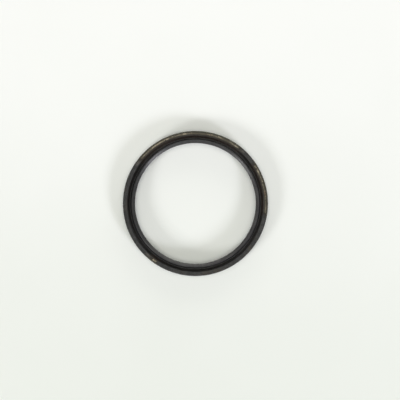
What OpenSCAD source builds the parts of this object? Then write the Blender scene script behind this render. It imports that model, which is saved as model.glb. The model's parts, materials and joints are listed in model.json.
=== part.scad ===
// Rotary shaft oil seal without a spring: rubber moulded over a pressed steel ring.
// It lies on its flat back with the lip upwards. The origin is the centre of the back face.

/* [Housing fit] */
// Room between the shaft and the housing bore, on the radius: the seal fills it
room_w = 3.5; // [3.2:0.1:8]
// Width from the flat back to the top of the rim
seal_w = 4; // [3.4:0.1:7]
// Height of the chamfer that leads the back into the housing
lead_in_h = 0.7; // [0.3:0.05:1]
// Width that the same chamfer takes off the radius
lead_in_w = 0.3; // [0.1:0.05:0.5]
// Radius of the rim's outer edge
rim_round = 0.25; // [0.1:0.05:0.35]

/* [Shaft fit] */
// Diameter of the shaft that the lip runs on
shaft_d = 40; // [20:0.5:120]
// How much smaller than the shaft the free lip is, across its diameter
lip_squeeze = 0.9; // [0.4:0.05:1.4]
// Gap between the shaft and the rubber behind the lip, on the radius
shaft_gap = 0.3; // [0.15:0.05:0.5]

/* [Lip] */
// Height of the lip's crest above the rim
lip_rise = 0.7; // [0:0.05:1.2]
// Thickness of the lip's head, from its sealing edge to its back
head_t = 1.15; // [0.9:0.05:1.35]
// Slope of the front face, down from the crest to the sealing edge, in degrees
front_slope = 38; // [25:1:48]
// Flare of the face behind the sealing edge, away from the shaft, in degrees
back_flare = 28; // [22:1:35]
// Width of the sealing edge along the shaft
edge_w = 0.3; // [0.15:0.05:0.5]
// Radius of the crest
crest_round = 0.3; // [0.15:0.05:0.4]
// Thickness of the neck at its root, on which the lip flexes
neck_t = 0.65; // [0.45:0.05:0.8]

/* [Groove] */
// Width of the groove's floor, between the neck and the foot of the outer wall
floor_w = 0.55; // [0.4:0.05:0.8]
// Largest radius at the foot of the groove's walls
floor_round = 0.3; // [0.1:0.05:0.5]

/* [Steel case] */
// Thickness of the pressed steel sheet
sheet_t = 0.55; // [0.4:0.05:0.7]
// Inside radius of the bend between wall and flange
bend_round = 0.25; // [0.1:0.05:0.5]
// Distance of the flange's inner edge from the foot of the neck
flange_gap = 0.15; // [0.05:0.05:0.3]

/* [Rubber cover] */
// Rubber outside the case's wall
outer_cover = 0.5; // [0.3:0.05:0.6]
// Rubber inside the case's wall, at the rim
inner_cover = 0.4; // [0.15:0.05:0.5]
// Rubber under the case's flange
back_cover = 0.4; // [0.25:0.05:0.6]
// Rubber on top of the case's flange
floor_cover = 0.3; // [0.15:0.05:0.5]
// Rubber over the edge of the case's wall
edge_cover = 0.15; // [0.1:0.05:0.3]

/* [Bare edge] */
// How far the bare edge of the steel stands above the worn rubber beside it
edge_stand = 0.05; // [0.02:0.01:0.15]
// Where the long bare arc starts, in degrees anticlockwise from +X
long_arc_from = 50; // [40:1:60]
// How far the long bare arc runs, in degrees
long_arc_sweep = 93; // [60:1:120]
// Where the side arc starts
side_arc_from = -10; // [-20:1:0]
// How far the side arc runs
side_arc_sweep = 45; // [20:1:48]
// Where the small bare spot starts
spot_from = 230; // [200:1:260]
// How far the small bare spot runs
spot_sweep = 8; // [3:1:20]

/* [Hidden] */
$fn = 180;

// Radii from the outside inwards
out_r = shaft_d / 2 + room_w;
case_r = out_r - outer_cover;
wall_r = case_r - sheet_t;
rim_r = wall_r - inner_cover;
neck_r = shaft_d / 2 + shaft_gap;
root_r = neck_r + neck_t;
flange_r = root_r + flange_gap;
lip_r = (shaft_d - lip_squeeze) / 2;
head_r = lip_r + head_t;

// Heights from the back face upwards
flange_top = back_cover + sheet_t;
floor_z = flange_top + floor_cover;
case_top = seal_w - edge_cover;
worn_z = case_top - edge_stand;
crest_z = seal_w + lip_rise;

// Small edge breaks on the rubber
back_break = 0.15;
inner_round = 0.2;

// Groove: its outer wall starts at the rim's inner edge and leans inwards down to the floor
wall_lean = max(0, atan((rim_r - root_r - floor_w) / (seal_w - floor_z)));
rim_edge = [rim_r + inner_round, seal_w - inner_round];
wall_start = rim_edge + inner_round * [-cos(wall_lean), sin(wall_lean)];
function wall_at(z) = wall_start[0] - (wall_start[1] - z) * tan(wall_lean);

// Lip: its back leans outwards down to the root
crest = [head_r - crest_round, crest_z - crest_round];
lip_lean = atan((root_r - head_r) / (crest[1] - floor_z));
function lip_back_at(z) = root_r - (z - floor_z) * tan(lip_lean);

// A cut in the rim starts in the open groove and runs out past the rubber
groove_mid = (lip_back_at(worn_z) + wall_at(worn_z)) / 2;
past = 1;

// The two foot radii share the floor, so neither is wider than its half
foot_round = min(floor_round, (wall_at(floor_z) - root_r) * 0.48);
foot_z = floor_z + foot_round;
wall_foot = [wall_at(foot_z) - foot_round / cos(wall_lean), foot_z];
lip_foot = [lip_back_at(foot_z) + foot_round / cos(lip_lean), foot_z];

// Lip: the front face runs from the crest down to the sealing edge, and the flare runs on below it
front_start = crest + crest_round * [-sin(front_slope), cos(front_slope)];
edge_top = front_start[1] - (front_start[0] - lip_r) * tan(front_slope);
edge_foot = edge_top - edge_w;
flare_foot = edge_foot - (neck_r - lip_r) / tan(back_flare);

// Steps in each rounded corner of a section
arc_steps = 6;

// Points along an arc of the section, from one angle to another
function arc(centre, r, from, to) =
    [for (i = [0:arc_steps]) let (a = from + (to - from) * i / arc_steps) centre + r * [cos(a), sin(a)]];

// Outline of the whole moulded section, anticlockwise from the inner edge of the back
function seal_outline() = concat(
    [[neck_r + back_break, 0], [out_r - lead_in_w, 0], [out_r, lead_in_h]],
    arc([out_r - rim_round, seal_w - rim_round], rim_round, 0, 90),
    arc(rim_edge, inner_round, 90, 180 - wall_lean),
    arc(wall_foot, foot_round, -wall_lean, -90),
    arc(lip_foot, foot_round, 270, 180 + lip_lean),
    arc(crest, crest_round, lip_lean, 90 + front_slope),
    [[lip_r, edge_top], [lip_r, edge_foot], [neck_r, flare_foot], [neck_r, back_break]]
);

// Outline of the bent sheet: flange, bend and wall, all of one thickness
function case_outline() =
    let (bend = [wall_r - bend_round, flange_top + bend_round])
    concat(
        [[flange_r, back_cover]],
        arc(bend, bend_round + sheet_t, -90, 0),
        [[case_r, case_top], [wall_r, case_top]],
        arc(bend, bend_round, 0, -90),
        [[flange_r, flange_top]]
    );

// A stretch of the rim that lost its rubber skin, down to just below the edge of the steel
module bare_stretch(from, sweep)
{
    rotate([0, 0, from])
        rotate_extrude(angle = sweep)
            translate([groove_mid, worn_z])
                square([out_r + past - groove_mid, seal_w + past - worn_z]);
}

module rubber_body()
{
    color("#2b2a2b")
        difference()
        {
            rotate_extrude()
                difference()
                {
                    polygon(seal_outline());
                    polygon(case_outline());
                }
            bare_stretch(long_arc_from, long_arc_sweep);
            bare_stretch(side_arc_from, side_arc_sweep);
            bare_stretch(spot_from, spot_sweep);
        }
}

module steel_case()
{
    color("#9b8c74")
        rotate_extrude()
            polygon(case_outline());
}

rubber_body();
steel_case();
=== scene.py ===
# %% [markdown]
# # A thin rubber shaft seal
#
# A shaft seal closes the gap between a turning shaft and the housing around it. This one is
# rubber, moulded over a pressed steel ring that keeps it round. It lies on its flat back, and its
# lip, which rubs on the shaft, points up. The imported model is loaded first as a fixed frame, and
# every size below is taken from it or given in millimetres beside it.

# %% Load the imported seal
import json
import math

import bmesh
import bpy
from mathutils import Matrix, Vector, noise

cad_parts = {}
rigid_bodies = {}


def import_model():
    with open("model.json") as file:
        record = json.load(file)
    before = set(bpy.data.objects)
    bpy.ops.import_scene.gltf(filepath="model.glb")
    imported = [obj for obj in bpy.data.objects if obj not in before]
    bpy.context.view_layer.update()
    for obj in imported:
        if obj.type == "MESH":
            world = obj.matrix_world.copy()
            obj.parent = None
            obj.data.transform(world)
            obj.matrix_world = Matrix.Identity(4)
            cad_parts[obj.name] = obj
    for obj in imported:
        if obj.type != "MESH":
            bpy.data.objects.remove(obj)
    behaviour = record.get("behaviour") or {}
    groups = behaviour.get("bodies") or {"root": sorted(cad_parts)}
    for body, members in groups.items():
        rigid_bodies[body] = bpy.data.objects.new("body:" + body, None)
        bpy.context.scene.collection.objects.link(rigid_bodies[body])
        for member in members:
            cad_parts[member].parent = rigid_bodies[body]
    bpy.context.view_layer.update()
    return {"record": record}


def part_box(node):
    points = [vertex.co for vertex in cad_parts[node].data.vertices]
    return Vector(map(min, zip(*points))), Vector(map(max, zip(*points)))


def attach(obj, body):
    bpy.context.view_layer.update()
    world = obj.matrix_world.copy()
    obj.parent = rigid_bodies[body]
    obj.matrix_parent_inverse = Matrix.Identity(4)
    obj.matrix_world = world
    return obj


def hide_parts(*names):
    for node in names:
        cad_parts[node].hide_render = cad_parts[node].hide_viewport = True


for leftover in bpy.data.objects[:]:
    bpy.data.objects.remove(leftover)
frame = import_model()
MM = 0.001


def corners_mm(box):
    """Lowest and highest corner of a box, in millimetres."""
    return [[round(value / MM, 3) for value in corner] for corner in box]


# %% [markdown]
# ## The sizes that the pieces share
#
# The outside radius, the height of the lip and the place of the steel ring are read from the
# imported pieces. The radius of the sealing edge is the one that the seal's bore mount states.

# %% Read the shared sizes
rubber_high = corners_mm(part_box("rubber_body"))[1]
steel_low, steel_high = corners_mm(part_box("steel_case"))
bore = next(m for m in frame["record"]["mounts"] if m["name"] == "shaft_bore")

outer_radius = rubber_high[0]
crest_height = rubber_high[2]
case_radius = steel_high[0]
case_base = steel_low[2]
case_top = steel_high[2]
lip_radius = bore["dims"]["r_mm"]
print("outside", outer_radius, "lip", lip_radius, "crest", crest_height)
print("case", case_radius, "from", case_base, "to", case_top)

# %% [markdown]
# The other values are the walls and roundings of the moulding and the sheet, as their maker would
# write them on the drawing. The chamfer at the back has two soft corners, and each is drawn as two
# points, one on either side of it. The last two values say how much of the way from a corner to
# its point on the chamfer goes sideways and how much upwards.

# %% Walls and roundings in millimetres
rim_height = 4.0
rim_inner_radius = 22.05
rim_round = 0.25
inner_round = 0.2
groove_floor = 1.25
groove_width = 0.55
foot_round = 0.28
neck_radius = 20.3
root_radius = 20.95
head_thickness = 1.15
crest_round = 0.3
front_slope = 38
back_flare = 28
edge_width = 0.3
sheet = 0.55
bend_inside = 0.25
flange_radius = 21.1
back_break = 0.15
lead_in_height = 0.7
lead_in_width = 0.3
soft_corner = 0.06
chamfer_sideways = 0.4
chamfer_upwards = 0.9
print("the rim's wall is", round(outer_radius - rim_inner_radius, 2), "mm thick")

# %% [markdown]
# ## A pen for half sections
#
# Every piece of a seal is round, so each is drawn once as a half section and turned about the
# shaft's axis. The section could be typed as a list of points, but then no corner would be a true
# arc. Here a pen draws straight runs, and each rounding is one point spun about the centre of its
# arc, as with compasses.

# %% Draw and turn half sections
STEPS_ROUND = 360
SAME_POINT = 1e-7


class SectionPen:
    """Draws a half section in the XZ plane: X is the radius, Z the height, in millimetres."""

    def __init__(self, radius, height):
        self.mesh = bmesh.new()
        self.first = self.tip = self.mesh.verts.new((radius * MM, 0, height * MM))

    def line_to(self, radius, height):
        corner = self.mesh.verts.new((radius * MM, 0, height * MM))
        self.mesh.edges.new((self.tip, corner))
        self.tip = corner

    def arc(self, radius, height, degrees, steps=8):
        """Turns the tip anticlockwise about a centre."""
        made = bmesh.ops.spin(
            self.mesh, geom=[self.tip], cent=(radius * MM, 0, height * MM), axis=(0, -1, 0),
            angle=math.radians(degrees), steps=steps)
        self.tip = made["geom_last"][0]

    def close(self):
        self.mesh.edges.new((self.tip, self.first))
        return self.mesh


def turn_full(mesh):
    """Spins a section once round the shaft's axis and points its faces outwards."""
    bmesh.ops.spin(
        mesh, geom=mesh.verts[:] + mesh.edges[:], cent=(0, 0, 0), axis=(0, 0, 1),
        angle=math.tau, steps=STEPS_ROUND, use_merge=True)
    bmesh.ops.remove_doubles(mesh, verts=mesh.verts, dist=SAME_POINT)
    bmesh.ops.recalc_face_normals(mesh, faces=mesh.faces)
    return mesh


print("a full turn takes", STEPS_ROUND, "steps")

# %% [markdown]
# ## The moulded rubber
#
# The rubber is one moulding: a flat back with a chamfer that leads it into the housing, a rim, a
# deep groove and a lip on a thin neck, on which it can flex. Both walls of the groove lean a
# little. The places where they leave their roundings are worked out first.

# %% Work out the section's arcs
rim_centre = (outer_radius - rim_round, rim_height - rim_round)
inner_centre = (rim_inner_radius + inner_round, rim_height - inner_round)
lean = (rim_inner_radius - root_radius - groove_width) / (rim_height - groove_floor)
wall_lean = math.degrees(math.atan(lean))
wall_top = (
    inner_centre[0] - inner_round * math.cos(math.radians(wall_lean)),
    inner_centre[1] + inner_round * math.sin(math.radians(wall_lean)))


def groove_wall_at(height):
    """Radius of the groove's outer wall at a height."""
    return wall_top[0] - (wall_top[1] - height) * lean


crest_centre = (lip_radius + head_thickness - crest_round, crest_height - crest_round)
lip_lean = math.degrees(math.atan(
    (root_radius - lip_radius - head_thickness) / (crest_centre[1] - groove_floor)))


def lip_back_at(height):
    """Radius of the lip's back at a height."""
    return root_radius - (height - groove_floor) * math.tan(math.radians(lip_lean))


foot_height = groove_floor + foot_round
wall_foot = groove_wall_at(foot_height) - foot_round / math.cos(math.radians(wall_lean))
lip_foot = lip_back_at(foot_height) + foot_round / math.cos(math.radians(lip_lean))
print("groove floor is", round(wall_foot - lip_foot, 2), "mm wide between its foot radii")

# %% [markdown]
# The lip's front face slopes down to the sealing edge, which is a narrow land, and behind it the
# rubber flares away from the shaft. The outline runs anticlockwise from the inner edge of the
# back.

# %% Draw the rubber's section and turn it
def polar(radius, degrees):
    """How far a point at a radius and an angle lies sideways and upwards."""
    return radius * math.cos(math.radians(degrees)), radius * math.sin(math.radians(degrees))


def point_on(centre, radius, degrees):
    """The point of an arc at an angle, as a radius and a height of the section."""
    return [middle + way for middle, way in zip(centre, polar(radius, degrees))]


slope = math.tan(math.radians(front_slope))
face_start = point_on(crest_centre, crest_round, 90 + front_slope)
edge_top = face_start[1] - (face_start[0] - lip_radius) * slope
edge_foot = edge_top - edge_width
flare_foot = edge_foot - (neck_radius - lip_radius) / math.tan(math.radians(back_flare))


def rubber_section():
    """The moulding's outline without its steel ring."""
    lead_in_foot = outer_radius - lead_in_width
    sideways = soft_corner * chamfer_sideways
    upwards = soft_corner * chamfer_upwards
    pen = SectionPen(neck_radius + back_break, 0)
    pen.line_to(lead_in_foot - soft_corner, 0)
    pen.line_to(lead_in_foot + sideways, upwards)
    pen.line_to(outer_radius - sideways, lead_in_height - upwards)
    pen.line_to(outer_radius, lead_in_height + soft_corner)
    pen.line_to(outer_radius, rim_centre[1])
    pen.arc(*rim_centre, 90)
    pen.line_to(inner_centre[0], rim_height)
    pen.arc(*inner_centre, 90 - wall_lean, steps=5)
    pen.line_to(*point_on((wall_foot, foot_height), foot_round, -wall_lean))
    pen.arc(wall_foot, foot_height, wall_lean - 90)
    pen.line_to(lip_foot, groove_floor)
    pen.arc(lip_foot, foot_height, lip_lean - 90)
    pen.line_to(*point_on(crest_centre, crest_round, lip_lean))
    pen.arc(*crest_centre, 90 + front_slope - lip_lean, steps=12)
    pen.line_to(lip_radius, edge_top)
    pen.line_to(lip_radius, edge_foot)
    pen.line_to(neck_radius, flare_foot)
    pen.line_to(neck_radius, back_break)
    return pen.close()


rubber_mesh = turn_full(rubber_section())
print("rubber before the steel's pocket:", len(rubber_mesh.faces), "faces")

# %% [markdown]
# ## The pressed steel ring
#
# The ring is a sheet, cut and pressed to an L section. It could be drawn as a closed outline, but
# a maker bends a sheet, so its outer face is drawn as one line with a rounded bend, turned, and
# then given the sheet's thickness.

# %% Bend, turn and thicken the sheet
def pressed_sheet():
    """The steel ring with sharp edges. The line is its outer face: the sheet lies inside it."""
    bend = bend_inside + sheet
    pen = SectionPen(flange_radius, case_base)
    pen.line_to(case_radius - bend, case_base)
    pen.arc(case_radius - bend, case_base + bend, 90, steps=10)
    pen.line_to(case_radius, case_top)
    mesh = turn_full(pen.mesh)
    lowest_face = min(mesh.faces, key=lambda face: face.calc_center_median().z)
    if lowest_face.normal.z > 0:
        bmesh.ops.reverse_faces(mesh, faces=mesh.faces)
    bmesh.ops.solidify(mesh, geom=mesh.faces, thickness=sheet * MM)
    return mesh


def span_mm(mesh):
    """Smallest and largest radius and height of a round mesh, in millimetres."""
    radii = [math.hypot(v.co.x, v.co.y) / MM for v in mesh.verts]
    heights = [v.co.z / MM for v in mesh.verts]
    return [round(x, 3) for x in (min(radii), max(radii), min(heights), max(heights))]


def open_edges(mesh):
    """How many edges don't join two faces. A closed mesh has none."""
    return sum(not edge.is_manifold for edge in mesh.edges)


steel_mesh = pressed_sheet()
print("sheet ring, radii and heights:", span_mm(steel_mesh))
print("open edges:", open_edges(steel_mesh))

# %% [markdown]
# ## The pocket
#
# The rubber flows round the steel in the mould, so inside it there is a pocket of the ring's
# shape. A Boolean could cut it, but the pocket is a closed hollow: a copy of the steel's surface
# turned inside out and joined to the rubber gives the same solid with no new edges.

# %% Put the pocket into the rubber
sheet_copy = bpy.data.meshes.new("sheet_copy")
steel_mesh.to_mesh(sheet_copy)
pocket = bmesh.new()
pocket.from_mesh(sheet_copy)
bmesh.ops.reverse_faces(pocket, faces=pocket.faces)
pocket.to_mesh(sheet_copy)
pocket.free()
rubber_mesh.from_mesh(sheet_copy)
bpy.data.meshes.remove(sheet_copy)


def volume_mm3(mesh):
    """Volume that a closed mesh holds, less its hollows."""
    return round(mesh.calc_volume(signed=True) / MM ** 3, 1)


print("rubber with its pocket:", volume_mm3(rubber_mesh), "mm3")
print("steel:", volume_mm3(steel_mesh), "mm3")

# %% [markdown]
# The sheared edges of the sheet get a small rounding, from tumbling. The bend's steps are much
# flatter than they are, so the angle between two faces tells them apart.

# %% Round the sheared edges and make objects from the meshes
SHEARED_ANGLE = 80
sheared_round = 0.07


def piece_from(mesh, name):
    """Writes a bmesh to a new object at the origin."""
    data = bpy.data.meshes.new(name)
    mesh.to_mesh(data)
    mesh.free()
    made = bpy.data.objects.new(name, data)
    bpy.context.scene.collection.objects.link(made)
    return made


sheared = [e for e in steel_mesh.edges if e.calc_face_angle(0) > math.radians(SHEARED_ANGLE)]
bmesh.ops.bevel(
    steel_mesh, geom=sheared, offset=sheared_round * MM, segments=3, profile=0.5,
    affect="EDGES", material=-1)
pressed_case = piece_from(steel_mesh, "pressed_case")
moulded_rubber = piece_from(rubber_mesh, "moulded_rubber")
print("pressed_case:", len(pressed_case.data.polygons), "faces")
print("moulded_rubber:", len(moulded_rubber.data.polygons), "faces")

# %% [markdown]
# ## Where the skin is gone
#
# Over the edge of the steel the rubber is only a skin, and it has flaked off in three stretches: a
# long one, a shorter one and a small spot. Lowering the rim's points would leave the pocket
# closed, so each stretch is cut with a thin block whose underside is rough. Its height rises past
# the rim at both ends, so the skin thins out there in a ragged line, and in a few places a fleck
# of skin stays on the steel. Each stretch is given by its start and its sweep in degrees.

# %% The rough underside of a cut
STRETCHES = {"long": (50, 93), "side": (-10, 45), "spot": (230, 8)}
worn_height = 3.8
grit_height = 0.018
fleck_height = 0.085
fleck_noise = (0.42, 0.55)
fleck_fray = 0.12
end_height = 0.05
end_length = (0.1, 1.1)
end_wander = 0.9
end_fray = 0.4


def smooth_step(low, high, value):
    """Rises gently from nothing at one value to one at another."""
    t = min(1, max(0, (value - low) / (high - low)))
    return t * t * (3 - 2 * t)


def rough(x, y, per_mm, layer):
    """Noise at a place in millimetres. Each layer is another pattern."""
    return noise.noise(Vector((x * per_mm, y * per_mm, layer)))


def torn_height(x, y, from_end):
    """Height of the torn rubber at a place, from_end being the way to the nearer end."""
    fine = rough(x, y, per_mm=4, layer=3)
    broad = rough(x, y, per_mm=1.3, layer=11)
    wander = rough(x, y, per_mm=1.1, layer=27)
    end_rise = 1 - smooth_step(*end_length, from_end + end_wander * wander + end_fray * fine)
    fleck = smooth_step(*fleck_noise, broad + fleck_fray * fine)
    height = worn_height + grit_height * fine + fleck_height * fleck
    return height + end_rise * (rim_height + end_height - worn_height)


print("stretches, start and sweep:", STRETCHES)

# %% [markdown]
# The block starts over the open groove and runs out past the rubber, so that it shares no wall
# with it. Its underside is a strip of small faces, spun along the stretch, lowered or raised
# point by point and then pulled up into a block.

# %% Cut the torn stretches
CUT_ROWS = 20
STEPS_PER_DEGREE = 4
FEWEST_STEPS = 12
WRAP_MARGIN = 1
CLEAR_OUTSIDE = 0.5
CLEAR_ABOVE = 1
cut_inner = (lip_back_at(worn_height) + groove_wall_at(worn_height)) / 2
cut_outer = outer_radius + CLEAR_OUTSIDE
cut_top = rim_height + CLEAR_ABOVE


def torn_cutter(name, start, sweep):
    """A curved block over one stretch of the rim, rough underneath."""
    pen = SectionPen(cut_inner, worn_height)
    for row in range(1, CUT_ROWS + 1):
        pen.line_to(cut_inner + (cut_outer - cut_inner) * row / CUT_ROWS, worn_height)
    mesh = pen.mesh
    to_start = Matrix.Rotation(math.radians(start), 3, "Z")
    bmesh.ops.rotate(mesh, cent=(0, 0, 0), matrix=to_start, verts=mesh.verts)
    bmesh.ops.spin(
        mesh, geom=mesh.verts[:] + mesh.edges[:], cent=(0, 0, 0), axis=(0, 0, 1),
        angle=math.radians(sweep), steps=max(FEWEST_STEPS, round(sweep * STEPS_PER_DEGREE)))
    for v in mesh.verts:
        turned = math.degrees(math.atan2(v.co.y, v.co.x)) - start
        turned = (turned + WRAP_MARGIN) % 360 - WRAP_MARGIN
        from_end = math.radians(min(turned, sweep - turned)) * outer_radius
        v.co.z = torn_height(v.co.x / MM, v.co.y / MM, from_end) * MM
    made = bmesh.ops.extrude_face_region(mesh, geom=mesh.faces[:])
    for v in made["geom"]:
        if isinstance(v, bmesh.types.BMVert):
            v.co.z = cut_top * MM
    bmesh.ops.recalc_face_normals(mesh, faces=mesh.faces)
    return piece_from(mesh, name)


def cut_away(piece, cutter):
    """Cuts one closed mesh from another and keeps the result as the piece's own mesh."""
    cut = piece.modifiers.new("cut", "BOOLEAN")
    cut.operation = "DIFFERENCE"
    cut.solver = "EXACT"
    cut.object = cutter
    seen = piece.evaluated_get(bpy.context.evaluated_depsgraph_get())
    result = bpy.data.meshes.new_from_object(seen)
    piece.modifiers.clear()
    old, piece.data = piece.data, result
    result.name = piece.name
    bpy.data.meshes.remove(old)
    bpy.data.meshes.remove(cutter.data)


for stretch, (start, sweep) in STRETCHES.items():
    cut_away(moulded_rubber, torn_cutter("cut_" + stretch, start, sweep))
    print("after the", stretch, "stretch:", len(moulded_rubber.data.polygons), "faces")

# %% [markdown]
# Where the torn surface meets the pocket at a flat angle, the cuts leave edges shorter than a
# micrometre. They don't show, but they make a mesh that is hard to edit or print, so they are
# merged. The count of open edges afterwards has to be zero.

# %% Merge the cuts' tiny edges
TINY = 0.001 * MM

cleaned = bmesh.new()
cleaned.from_mesh(moulded_rubber.data)
bmesh.ops.dissolve_degenerate(cleaned, dist=TINY, edges=cleaned.edges)
print("rubber:", len(cleaned.faces), "faces,", volume_mm3(cleaned), "mm3")
print("open edges:", open_edges(cleaned))
cleaned.to_mesh(moulded_rubber.data)
cleaned.free()

# %% [markdown]
# ## Smooth shading
#
# The roundings are narrow and the faces beside them wide. Plain smooth shading would spread a
# rounding's turn over the whole wide face, which shows as a false bulge. Real corners stay sharp
# by their angle, and weighted normals let each wide face keep its own direction.

# %% Shade the two pieces
CORNER_ANGLE = 35

for piece in (moulded_rubber, pressed_case):
    piece.data.shade_smooth()
    piece.data.set_sharp_from_angle(angle=math.radians(CORNER_ANGLE))
    weighted = piece.modifiers.new("weighted", "WEIGHTED_NORMAL")
    weighted.keep_sharp = True
    print(piece.name, "has", len(piece.data.polygons), "faces")

# %% [markdown]
# ## Small helpers for materials
#
# A material is a tree of nodes. Placing and joining each node by hand takes three lines, so one
# helper does it: it sets the node's options, writes plain values to its inputs and links sockets
# to them. The other helpers are the steps that come back in every material: arithmetic, ramps,
# bands, clouds of noise and colours laid over each other.

# %% Place and join nodes
def feed(tree, made, feeds):
    """Fills a node's inputs with plain values, or with links where a value is a socket."""
    for key, value in feeds.items():
        if isinstance(value, bpy.types.NodeSocket):
            tree.links.new(value, made.inputs[key])
        else:
            made.inputs[key].default_value = value
    return made


def place(tree, kind, feeds=(), **options):
    """Adds a node, sets its options and fills its inputs."""
    made = tree.nodes.new("ShaderNode" + kind)
    for name, value in options.items():
        setattr(made, name, value)
    return feed(tree, made, dict(feeds))


# %% Arithmetic on patterns
def maths(tree, operation, a, b=0.0, c=0.0, clamp=False):
    """One step of arithmetic on a pattern."""
    made = place(tree, "Math", {0: a, 1: b, 2: c}, operation=operation, use_clamp=clamp)
    return made.outputs[0]


def times(tree, first, *others):
    """Multiplies patterns and numbers."""
    for other in others:
        first = maths(tree, "MULTIPLY", first, other)
    return first


def plus(tree, first, *others):
    """Adds patterns and numbers."""
    for other in others:
        first = maths(tree, "ADD", first, other)
    return first


def fade(tree, value, low, high, to_low=0.0, to_high=1.0):
    """A smooth ramp from one value of a pattern to another."""
    feeds = {
        "Value": value, "From Min": low, "From Max": high, "To Min": to_low, "To Max": to_high}
    made = place(tree, "MapRange", feeds, interpolation_type="SMOOTHSTEP")
    return made.outputs["Result"]


def band(tree, value, start, full, full_end, end):
    """A mask that fades in from its start and out towards its end."""
    return times(tree, fade(tree, value, start, full), fade(tree, value, end, full_end))


# %% Noise and colour
def speckle(tree, vector, scale, detail, roughness=0.5):
    """A cloud of noise."""
    feeds = {"Vector": vector, "Scale": scale, "Detail": detail, "Roughness": roughness}
    return place(tree, "TexNoise", feeds).outputs["Fac"]


def opaque(colour):
    """A plain colour with its alpha. A socket stays as it is."""
    return colour if isinstance(colour, bpy.types.NodeSocket) else (*colour, 1)


def lay_over(tree, amount, below, above):
    """Lays one colour over another by a mask."""
    feeds = {0: amount, 6: opaque(below), 7: opaque(above)}
    return place(tree, "Mix", feeds, data_type="RGBA").outputs[2]


# %% Groups and materials
def new_group(name, inputs, outputs):
    """A node group with named sockets. Inputs that aren't vectors carry a default value."""
    tree = bpy.data.node_groups.new(name, "ShaderNodeTree")
    for label, start in inputs.items():
        kind = "NodeSocketVector" if start is None else "NodeSocketFloat"
        socket = tree.interface.new_socket(label, in_out="INPUT", socket_type=kind)
        if start is not None:
            socket.default_value = start
    for label, kind in outputs.items():
        tree.interface.new_socket(label, in_out="OUTPUT", socket_type="NodeSocket" + kind)
    return tree, tree.nodes.new("NodeGroupInput").outputs, tree.nodes.new("NodeGroupOutput")


def use_group(tree, group, feeds):
    """Places a finished group in a tree and returns its outputs."""
    return place(tree, "Group", feeds, node_tree=group).outputs


def new_material(name):
    """A material with its tree, its Principled shader and the position of its points."""
    made = bpy.data.materials.new(name)
    made.use_nodes = True
    tree = made.node_tree
    position = place(tree, "TexCoord").outputs["Object"]
    return made, tree, tree.nodes["Principled BSDF"], position


ready = (place, maths, times, plus, fade, band, speckle, lay_over, new_group, use_group)
print("helpers:", [helper.__name__ for helper in ready])

# %% [markdown]
# ## Where a point is on the ring
#
# Wear on a round part follows its radius and its angle, not X and Y. This group turns a position
# into a radius and a height in millimetres and an angle in degrees. It also gives a position for
# patterns drawn out along the ring, as the marks of a lathe are: fast across the ring and slow
# along the turn.

# %% Ring place
FAST_ACROSS = 8
SLOW_ALONG = 0.35

ring_place, given, put = new_group(
    "ring_place", {"Position": None},
    {"Radius": "Float", "Height": "Float", "Turn": "Float", "Drawn": "Vector"})
apart = place(ring_place, "SeparateXYZ", {0: given["Position"]}).outputs
x_mm, y_mm, height = [times(ring_place, apart[axis], 1 / MM) for axis in "XYZ"]
flat = place(ring_place, "CombineXYZ", {"X": x_mm, "Y": y_mm}).outputs[0]
radius = place(ring_place, "VectorMath", {0: flat}, operation="LENGTH").outputs["Value"]
turn = times(ring_place, maths(ring_place, "ARCTAN2", y_mm, x_mm), math.degrees(1))
drawn = place(ring_place, "CombineXYZ", {
    "X": times(ring_place, x_mm, SLOW_ALONG),
    "Y": times(ring_place, y_mm, SLOW_ALONG),
    "Z": plus(
        ring_place, times(ring_place, radius, FAST_ACROSS),
        times(ring_place, height, FAST_ACROSS))}).outputs[0]
feed(ring_place, put, {"Radius": radius, "Height": height, "Turn": turn, "Drawn": drawn})
print(ring_place.name, [s.name for s in ring_place.interface.items_tree])

# %% [markdown]
# ## Grain and dust
#
# Both the rubber and the steel have a fine grain, each with its own size, so grain is one group
# with a size in millimetres. Dust settles on what faces up, as a thin haze and as loose specks,
# so its group reads the surface's direction.

# %% Grain
grain, given, put = new_group(
    "grain", {"Position": None, "Size": 0.2, "Detail": 3.0}, {"Grain": "Float"})
scale = maths(grain, "DIVIDE", 1 / MM, given["Size"])
feed(grain, put, {"Grain": speckle(grain, given["Position"], scale, given["Detail"], 0.6)})


def grain_at(tree, position, size, detail=3.0):
    """Grain of one size in a material."""
    return use_group(
        tree, grain, {"Position": position, "Size": size, "Detail": detail})["Grain"]


print(grain.name, [s.name for s in grain.interface.items_tree])

# %% Dust
HAZE_SCALE = 900.0
SPECK_SCALE = 8000.0

dust, given, put = new_group("settled_dust", {"Position": None, "Amount": 0.5}, {"Dust": "Float"})
normal = place(dust, "NewGeometry").outputs["Normal"]
facing = place(dust, "SeparateXYZ", {0: normal}).outputs["Z"]
lying = fade(dust, facing, 0.35, 0.95)
haze = fade(dust, speckle(dust, given["Position"], HAZE_SCALE, 4.0, 0.7), 0.4, 0.75, 0.0, 0.15)
specks = fade(dust, speckle(dust, given["Position"], SPECK_SCALE, 3.0, 0.6), 0.58, 0.74, 0.0, 0.9)
both = maths(dust, "ADD", haze, specks, clamp=True)
feed(dust, put, {"Dust": times(dust, both, lying, given["Amount"])})


def dust_on(tree, position, amount):
    """Dust in a material."""
    return use_group(tree, dust, {"Position": position, "Amount": amount})["Dust"]


print("groups:", [g.name for g in bpy.data.node_groups])

# %% [markdown]
# ## The bare stretches
#
# The steel's coating and the rubber's colour both change where the skin is gone, so both materials
# read one mask of the angles. Each stretch is the distance from its middle, wrapped so that it has
# no jump, and its ends fade over a few degrees, a little outside the stretch itself.

# %% Bare stretch mask
MASK_MARGIN = 1.5


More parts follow.
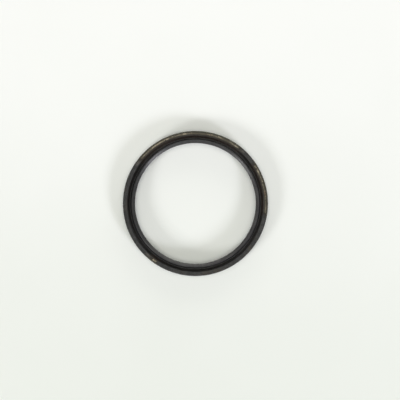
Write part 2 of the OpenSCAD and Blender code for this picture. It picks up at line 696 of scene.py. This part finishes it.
def around_ring(tree, turn, places, soft):
    """A mask of places round the ring, each given by its start and its sweep in degrees."""
    found = None
    for start, sweep in places.values():
        from_middle = maths(tree, "SUBTRACT", turn, start + sweep / 2)
        away = maths(tree, "ABSOLUTE", maths(tree, "WRAP", from_middle, 180.0, -180.0))
        to_end = maths(tree, "SUBTRACT", sweep / 2 + MASK_MARGIN, away)
        inside = maths(tree, "DIVIDE", to_end, soft, clamp=True)
        found = inside if found is None else maths(tree, "MAXIMUM", found, inside)
    return found


bare_mask, given, put = new_group(
    "bare_stretches", {"Turn": 0.0, "Fade": 3.0}, {"Bare": "Float"})
feed(bare_mask, put, {"Bare": around_ring(bare_mask, given["Turn"], STRETCHES, given["Fade"])})
print(bare_mask.name, "has", len(bare_mask.nodes), "nodes")

# %% [markdown]
# ## The rubber's finish
#
# Moulded nitrile rubber is a soft black. The lip is smooth from its polished mould, and takes a
# satin light. Painted shade darkens the rubber on the left side of the ring, and the back of its
# crest is rougher and darkened by painted shade at the lower right. Fine pale dust has settled in
# the groove, and is browner below the bare steel.
# The rim is rougher and greyer from handling, in patches, and a little brown with grease here and
# there. Beside the bare steel a brown film has crept over it, outside the steel a thin olive line
# of the bonding coat shows, and at three ends the skin is so thin that the steel pales it.

# %% Colours of the rubber
RUBBER_BLACK = (0.0205, 0.0200, 0.0215)
RUBBER_GREY = (0.0370, 0.0361, 0.0359)
# Painted shade: the black that darkens the left side and the back of the crest at the lower right.
PAINTED_SHADE_BLACK = (0.0065, 0.0063, 0.0070)
GROOVE_DUST = (0.084, 0.079, 0.074)
BROWN_DUST = (0.146, 0.116, 0.097)
RIM_DARK = (0.005, 0.005, 0.005)
RIM_GREY = (0.0305, 0.0305, 0.0300)
GREASE = (0.036, 0.029, 0.020)
THIN_SKIN = (0.095, 0.084, 0.070)
BROWN_FILM = (0.015, 0.011, 0.006)
OLIVE_COAT = (0.052, 0.048, 0.031)
PALE_DUST = (0.32, 0.31, 0.29)
print("dust is", round(PALE_DUST[0] / RUBBER_BLACK[0]), "times as bright as the rubber")

# %% [markdown]
# Each change has its place. The places across the ring are bands of the radius, in millimetres,
# or what lies outside a radius and above a height. The places along the ring are angles, in
# degrees. A limit is never a line, so each is given by where its fade starts and where it ends.

# %% Places on the rubber
LIP_BACK = (20.2, 20.45, 21.0, 21.2)
GROOVE = (21.25, 21.75, 22.0, 22.3)
OVER_STEEL = (22.3, 22.5, 23.0, 23.2)
RIM_RADII, RIM_HEIGHTS = (21.9, 22.2), (3.2, 3.7)
BARE_RADII, BARE_HEIGHTS = (21.9, 22.1), (2.9, 3.5)
OUTSIDE_STEEL = (case_radius + 0.05, case_radius + 0.15)
# The angles past which the colour fades into painted shade on the left side of the ring.
PAINTED_SHADE_TURN = (100, 165)
THIN_PLACES = {
    "past the left end": (142, 5), "before the right end": (46, 4), "before the spot": (225, 4)}
# Where the back of the crest is rougher and darkened as painted shade.
DULL_AND_SHADED_PLACES = {"lower right": (-62, 32)}


def beyond(tree, ring, radii, heights):
    """A mask of what lies outside a radius and above a height."""
    return times(tree, fade(tree, ring["Radius"], *radii), fade(tree, ring["Height"], *heights))


rubber, tree, shader, position = new_material("moulded_rubber")
ring = use_group(tree, ring_place, {"Position": position})
bare = use_group(tree, bare_mask, {"Turn": ring["Turn"], "Fade": 3.0})["Bare"]
# Painted shade on the left side of the ring.
painted_shade_left = times(tree, fade(tree, maths(tree, "ABSOLUTE", ring["Turn"]), *PAINTED_SHADE_TURN), 0.75)
# The back of the crest at the lower right: rougher, and darkened as painted shade.
dull_and_shaded_crest = times(
    tree, around_ring(tree, ring["Turn"], DULL_AND_SHADED_PLACES, 14.0),
    band(tree, ring["Radius"], *LIP_BACK))
in_groove = band(tree, ring["Radius"], *GROOVE)
over_steel = band(tree, ring["Radius"], *OVER_STEEL)
on_rim = beyond(tree, ring, RIM_RADII, RIM_HEIGHTS)
beside_steel = beyond(tree, ring, BARE_RADII, BARE_HEIGHTS)
outside_steel = fade(tree, ring["Radius"], *OUTSIDE_STEEL)
print(rubber.name, "has", len(tree.nodes), "nodes so far")

# %% [markdown]
# Small steps of colour are laid over each other, from the broad to the fine. First come the
# rubber itself, the painted shade on the left and on the crest and the dust in the groove, then
# the rim, with its share of the painted shade, then what the steel has left on the rubber, and
# loose dust last. Where a grain or the marks of the mould break a step up, its mask is multiplied
# by them.

# %% Rubber, groove and rim
broad = grain_at(tree, position, 4.0)
patches = grain_at(tree, position, 1.1, detail=4.0)
scuffs = grain_at(tree, position, 0.4)
fine = grain_at(tree, position, 0.16)
marks = speckle(tree, ring["Drawn"], 1.0, 2.0)

colour = lay_over(tree, fade(tree, broad, 0.35, 0.65), RUBBER_BLACK, RUBBER_GREY)
# Painted shade: the left side and the back of the crest at the lower right are darkened.
colour = lay_over(tree, maths(tree, "MAXIMUM", painted_shade_left, dull_and_shaded_crest), colour, PAINTED_SHADE_BLACK)
settled = lay_over(tree, bare, GROOVE_DUST, BROWN_DUST)
dust_patches = fade(tree, patches, 0.3, 0.7, 0.5, 1.0)
colour = lay_over(tree, times(tree, in_groove, dust_patches), colour, settled)

handled = plus(tree, scuffs, times(tree, marks, 0.4), times(tree, patches, 0.6))
rim = lay_over(tree, fade(tree, handled, 0.85, 1.2), RIM_DARK, RIM_GREY)
rim = lay_over(tree, fade(tree, broad, 0.48, 0.66, 0.0, 0.6), rim, GREASE)
# Painted shade darkens the rim on the left side as well.
rim = lay_over(tree, times(tree, painted_shade_left, 0.4), rim, RIM_DARK)
colour = lay_over(tree, on_rim, colour, rim)
print(rubber.name, "has", len(tree.nodes), "nodes so far")

# %% Thin skin, film, coat and loose dust
thin = times(tree, over_steel, on_rim, around_ring(tree, ring["Turn"], THIN_PLACES, 4.0))
thin = times(tree, thin, fade(tree, scuffs, 0.35, 0.6, 0.25, 1.0))
colour = lay_over(tree, thin, colour, THIN_SKIN)
film = times(tree, beside_steel, bare, fade(tree, broad, 0.3, 0.6, 0.6, 1.0))
colour = lay_over(tree, film, colour, BROWN_FILM)
coat = times(tree, film, outside_steel, fade(tree, fine, 0.3, 0.6, 0.5, 1.0))
colour = lay_over(tree, coat, colour, OLIVE_COAT)
colour = lay_over(tree, dust_on(tree, position, 0.25), colour, PALE_DUST)
print(rubber.name, "has", len(tree.nodes), "nodes so far")

# %% [markdown]
# The same masks steer the roughness, so that each change of colour is also a change of gloss. The
# relief is a fine grain, stronger on the rim, with the marks of the mould.

# %% Gloss and relief of the rubber
RELIEF = 0.02 * MM

matt = fade(tree, on_rim, 0.0, 1.0, 0.33, 0.62)
matt = plus(tree, matt, times(tree, dull_and_shaded_crest, 0.35), times(tree, film, 0.1))
matt = maths(tree, "ADD", matt, fade(tree, fine, 0.3, 0.7, -0.05, 0.07), clamp=True)
grainy = times(tree, fine, fade(tree, on_rim, 0.0, 1.0, 0.25, 1.0))
relief = plus(tree, grainy, times(tree, marks, 0.5))
bump = place(tree, "Bump", {"Height": relief, "Strength": 0.35, "Distance": RELIEF})
feed(tree, shader, {
    "Base Color": colour, "Roughness": matt, "Normal": bump.outputs[0],
    "Specular IOR Level": 0.36})
print(rubber.name, "has", len(tree.nodes), "nodes")

# %% [markdown]
# ## The steel's finish
#
# The ring was coated so that the rubber would bond to it. Where the skin came off, the edge is
# rubbed to a dull tan in dashes, and between them the brown coat and a little rust are left, most
# of all along the inner edge, which the rim shields. The photograph shows some places rubbed
# brighter than the rest and one that is duller, which the lists below name with their angles.

# %% Colours of the steel, and where it is rubbed
RUBBED_TAN = (0.36, 0.312, 0.236)
BONDING_BROWN = (0.058, 0.050, 0.031)
RUST = (0.075, 0.034, 0.014)
WELL_RUBBED = {
    "left end": (134, 4), "left": (113, 17), "middle": (98, 4), "right": (65, 8),
    "right end": (52, 9), "side above": (22, 8), "spot": (231, 4)}
HARDLY_RUBBED = {"side end": (-9, 18)}
INNER_EDGE = (case_radius - sheet + 0.02, case_radius - sheet + 0.2)
print("rubbed steel is", round(RUBBED_TAN[0] / BONDING_BROWN[0]), "times as bright as its coat")

# %% [markdown]
# The dashes run along the ring, so they come from the drawn-out position, with two grains to
# break them up. Their sum is the wear. A well rubbed place adds to it, and a ramp turns it into
# the mask of what is rubbed bright.

# %% How far the coat is rubbed off
steel, tree, shader, position = new_material("coated_steel")
ring = use_group(tree, ring_place, {"Position": position})
bare = use_group(tree, bare_mask, {"Turn": ring["Turn"], "Fade": 4.0})["Bare"]
dashes = speckle(tree, ring["Drawn"], 0.9, 3.0, 0.6)
broad = grain_at(tree, position, 3.0, detail=2.0)
nicks = grain_at(tree, position, 0.45)
fine = grain_at(tree, position, 0.1, detail=2.0)

bright = around_ring(tree, ring["Turn"], WELL_RUBBED, 4.0)
dulled = around_ring(tree, ring["Turn"], HARDLY_RUBBED, 5.0)
worn = plus(
    tree, dashes, times(tree, broad, 0.5), times(tree, nicks, 0.7), times(tree, bright, 0.16))
rubbed = times(
    tree, fade(tree, worn, 1.095, 1.355), bare, fade(tree, dulled, 0.0, 1.0, 1.0, 0.5),
    fade(tree, ring["Radius"], *INNER_EDGE, 0.15, 1.0))
print(steel.name, "has", len(tree.nodes), "nodes so far")

# %% [markdown]
# The coat isn't bare metal, so Metallic falls with it, and where the steel is rubbed it is also
# smoother.

# %% Colour, gloss and relief of the steel
rusty = times(tree, fade(tree, broad, 0.52, 0.68), fade(tree, fine, 0.4, 0.6, 0.3, 1.0))
rusty = times(tree, rusty, maths(tree, "SUBTRACT", 1.0, rubbed))
colour = lay_over(tree, rubbed, BONDING_BROWN, RUBBED_TAN)
colour = lay_over(tree, rusty, colour, RUST)
colour = lay_over(tree, dust_on(tree, position, 0.15), colour, PALE_DUST)
matt = fade(tree, rubbed, 0.0, 1.0, 0.62, 0.4)
matt = maths(tree, "ADD", matt, fade(tree, fine, 0.3, 0.7, -0.06, 0.08), clamp=True)
relief = plus(tree, times(tree, fine, 0.6), times(tree, dashes, 0.8))
bump = place(tree, "Bump", {"Height": relief, "Strength": 0.5, "Distance": RELIEF})
feed(tree, shader, {
    "Base Color": colour, "Roughness": matt, "Normal": bump.outputs[0],
    "Metallic": fade(tree, rubbed, 0.0, 1.0, 0.25, 0.95)})
print(steel.name, "has", len(tree.nodes), "nodes")

# %% [markdown]
# ## Dress the frame
#
# The seal has no moving part, so both pieces ride on its one body. Each stands for the imported
# piece of the same shape, which it hides, and takes the finish made above for it.

# %% Ride, replace and finish the pieces
for piece, material, node, slot in (
        (moulded_rubber, rubber, "rubber_body", "rubber"),
        (pressed_case, steel, "steel_case", "case_steel")):
    piece.data.materials.clear()
    piece.data.materials.append(material)
    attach(piece, "root")
    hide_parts(node)

# %% [markdown]
# ## The floor
#
# The seal lies on a smooth painted board in a very pale, slightly green white. Its colour is
# darker towards the bottom of the picture and lighter towards the top, as painted shade and light.
# A wide disc is enough. It stays plain, so that the seal's soft shadow can be read on it.

# %% Floor
# Painted light and shade: the floor's colour at the top and at the bottom of the picture.
FLOOR_LIT_TOP = (0.992, 1.000, 0.979)
FLOOR_SHADED_BOTTOM = (0.786, 0.814, 0.760)
FLOOR_RADIUS = 2.5
FLOOR_FADE = 0.09
CLOUDINESS = 0.03

board = bmesh.new()
bmesh.ops.create_circle(board, cap_ends=True, radius=FLOOR_RADIUS, segments=96)
floor = piece_from(board, "floor")
painted, tree, shader, position = new_material("painted_board")
up_picture = place(tree, "SeparateXYZ", {0: position}).outputs["Y"]
cloud = maths(tree, "SUBTRACT", speckle(tree, position, 22.0, 2.0), 0.5)
# Painted light and shade: the colour fades from the darker bottom to the lighter top.
shade = plus(tree, up_picture, times(tree, cloud, CLOUDINESS))
shade = fade(tree, shade, -FLOOR_FADE, FLOOR_FADE)
feed(tree, shader, {
    "Base Color": lay_over(tree, shade, FLOOR_SHADED_BOTTOM, FLOOR_LIT_TOP), "Roughness": 0.6,
    "Specular IOR Level": 0.2})
floor.data.materials.append(painted)
print("the floor is", 2 * FLOOR_RADIUS, "m wide")

# %% [markdown]
# ## The light
#
# Two soft lamps stand low on the near side, one to the left and one to the right. Each lights the
# far inside of the lip, which gives the two highlights, and together they throw the shadow behind
# the ring. A third one on the far side is weak, low and wide, as a window is. The shadows have
# colours of their own: the right lamp is the coolest, and the far one is a little warm.

# %% The lamps
LAMP_AWAY = 0.7


def soft_lamp(name, bearing, angle_up, width, tall, share, tint):
    """A lamp that points at the seal, with the power that gives its share of the floor's light."""
    level, rise = polar(LAMP_AWAY, angle_up)
    lamp = bpy.data.lights.new(name, "AREA")
    lamp.shape = "RECTANGLE"
    lamp.size = width
    lamp.size_y = tall
    lamp.color = tint
    lamp.energy = share * math.pi ** 2 * LAMP_AWAY ** 2 / math.sin(math.radians(angle_up))
    made = bpy.data.objects.new(name, lamp)
    made.location = (*polar(level, bearing), rise)
    made.rotation_euler = (-made.location).to_track_quat("-Z", "Y").to_euler()
    bpy.context.scene.collection.objects.link(made)
    print(name, round(lamp.energy, 2), "W, tint", [round(part, 2) for part in lamp.color])


soft_lamp(
    "lamp_left", bearing=219.5, angle_up=29, width=0.18, tall=0.18, share=0.175,
    tint=(1.0, 1.0, 1.02))
soft_lamp(
    "lamp_right", bearing=313, angle_up=28, width=0.16, tall=0.16, share=0.188,
    tint=(1.0, 1.0, 1.10))
soft_lamp(
    "lamp_far", bearing=80, angle_up=17, width=0.9, tall=0.3, share=0.10,
    tint=(1.0, 1.0, 0.95))

# %% [markdown]
# The rest is the light of a pale room, most of it from above, and as warm as the far lamp's. With
# it, all the light adds up to about one on the floor, so a colour shows about as it is written.
# The camera and the gloss see the room as one plain, very pale white.

# %% The pale room
ROOM = 0.14
ROOM_ABOVE = 4.1
ABOVE = (0.9, 0.985)
ROOM_WHITE = (0.93, 0.95, 0.91)
ROOM_LIGHT = (1.0, 1.0, 0.95)

world = bpy.data.worlds.new("pale_room")
bpy.context.scene.world = world
world.use_nodes = True
tree = world.node_tree
path = place(tree, "LightPath").outputs
gloss = plus(tree, path["Is Glossy Ray"], path["Is Transmission Ray"])
seen = maths(tree, "ADD", path["Is Camera Ray"], gloss, clamp=True)
direction = place(tree, "TexCoord").outputs["Generated"]
upwards = place(tree, "SeparateXYZ", {0: direction}).outputs["Z"]
room = fade(tree, upwards, *ABOVE, ROOM, ROOM_ABOVE)
room = times(tree, room, maths(tree, "SUBTRACT", 1.0, seen))
feed(tree, tree.nodes["Background"], {
    "Color": lay_over(tree, seen, ROOM_LIGHT, ROOM_WHITE), "Strength": plus(tree, room, seen)})
bpy.context.scene.view_settings.view_transform = "Standard"
print("the room gives", ROOM, "all round and", ROOM_ABOVE, "above")

# %% [markdown]
# ## The camera
#
# The picture is taken straight down. The ring's centre and its radius in the picture, in pixels,
# give the scale, and the camera stands over the middle of the picture, a little up and to the
# right of the ring. It stands half a metre above the rim, so the view is nearly flat.

# %% Camera over the ring
PICTURE_WIDTH = 400
RING_CENTRE_X = 195.4
RING_CENTRE_Y = 203.5
RING_RADIUS = 72.58
CAMERA_AWAY = 500.0
SENSOR_WIDTH = 36.0

mm_per_pixel = outer_radius / RING_RADIUS
camera = bpy.data.cameras.new("camera")
camera.sensor_width = SENSOR_WIDTH
camera.lens = SENSOR_WIDTH * CAMERA_AWAY / (PICTURE_WIDTH * mm_per_pixel)
camera.clip_end = 20.0
view = bpy.data.objects.new("camera", camera)
view.location = (
    (PICTURE_WIDTH / 2 - RING_CENTRE_X) * mm_per_pixel * MM,
    (RING_CENTRE_Y - PICTURE_WIDTH / 2) * mm_per_pixel * MM,
    (CAMERA_AWAY + rim_height) * MM)
bpy.context.scene.collection.objects.link(view)
bpy.context.scene.camera = view
print("lens", round(camera.lens, 1), "mm, camera at", [round(c / MM, 2) for c in view.location])
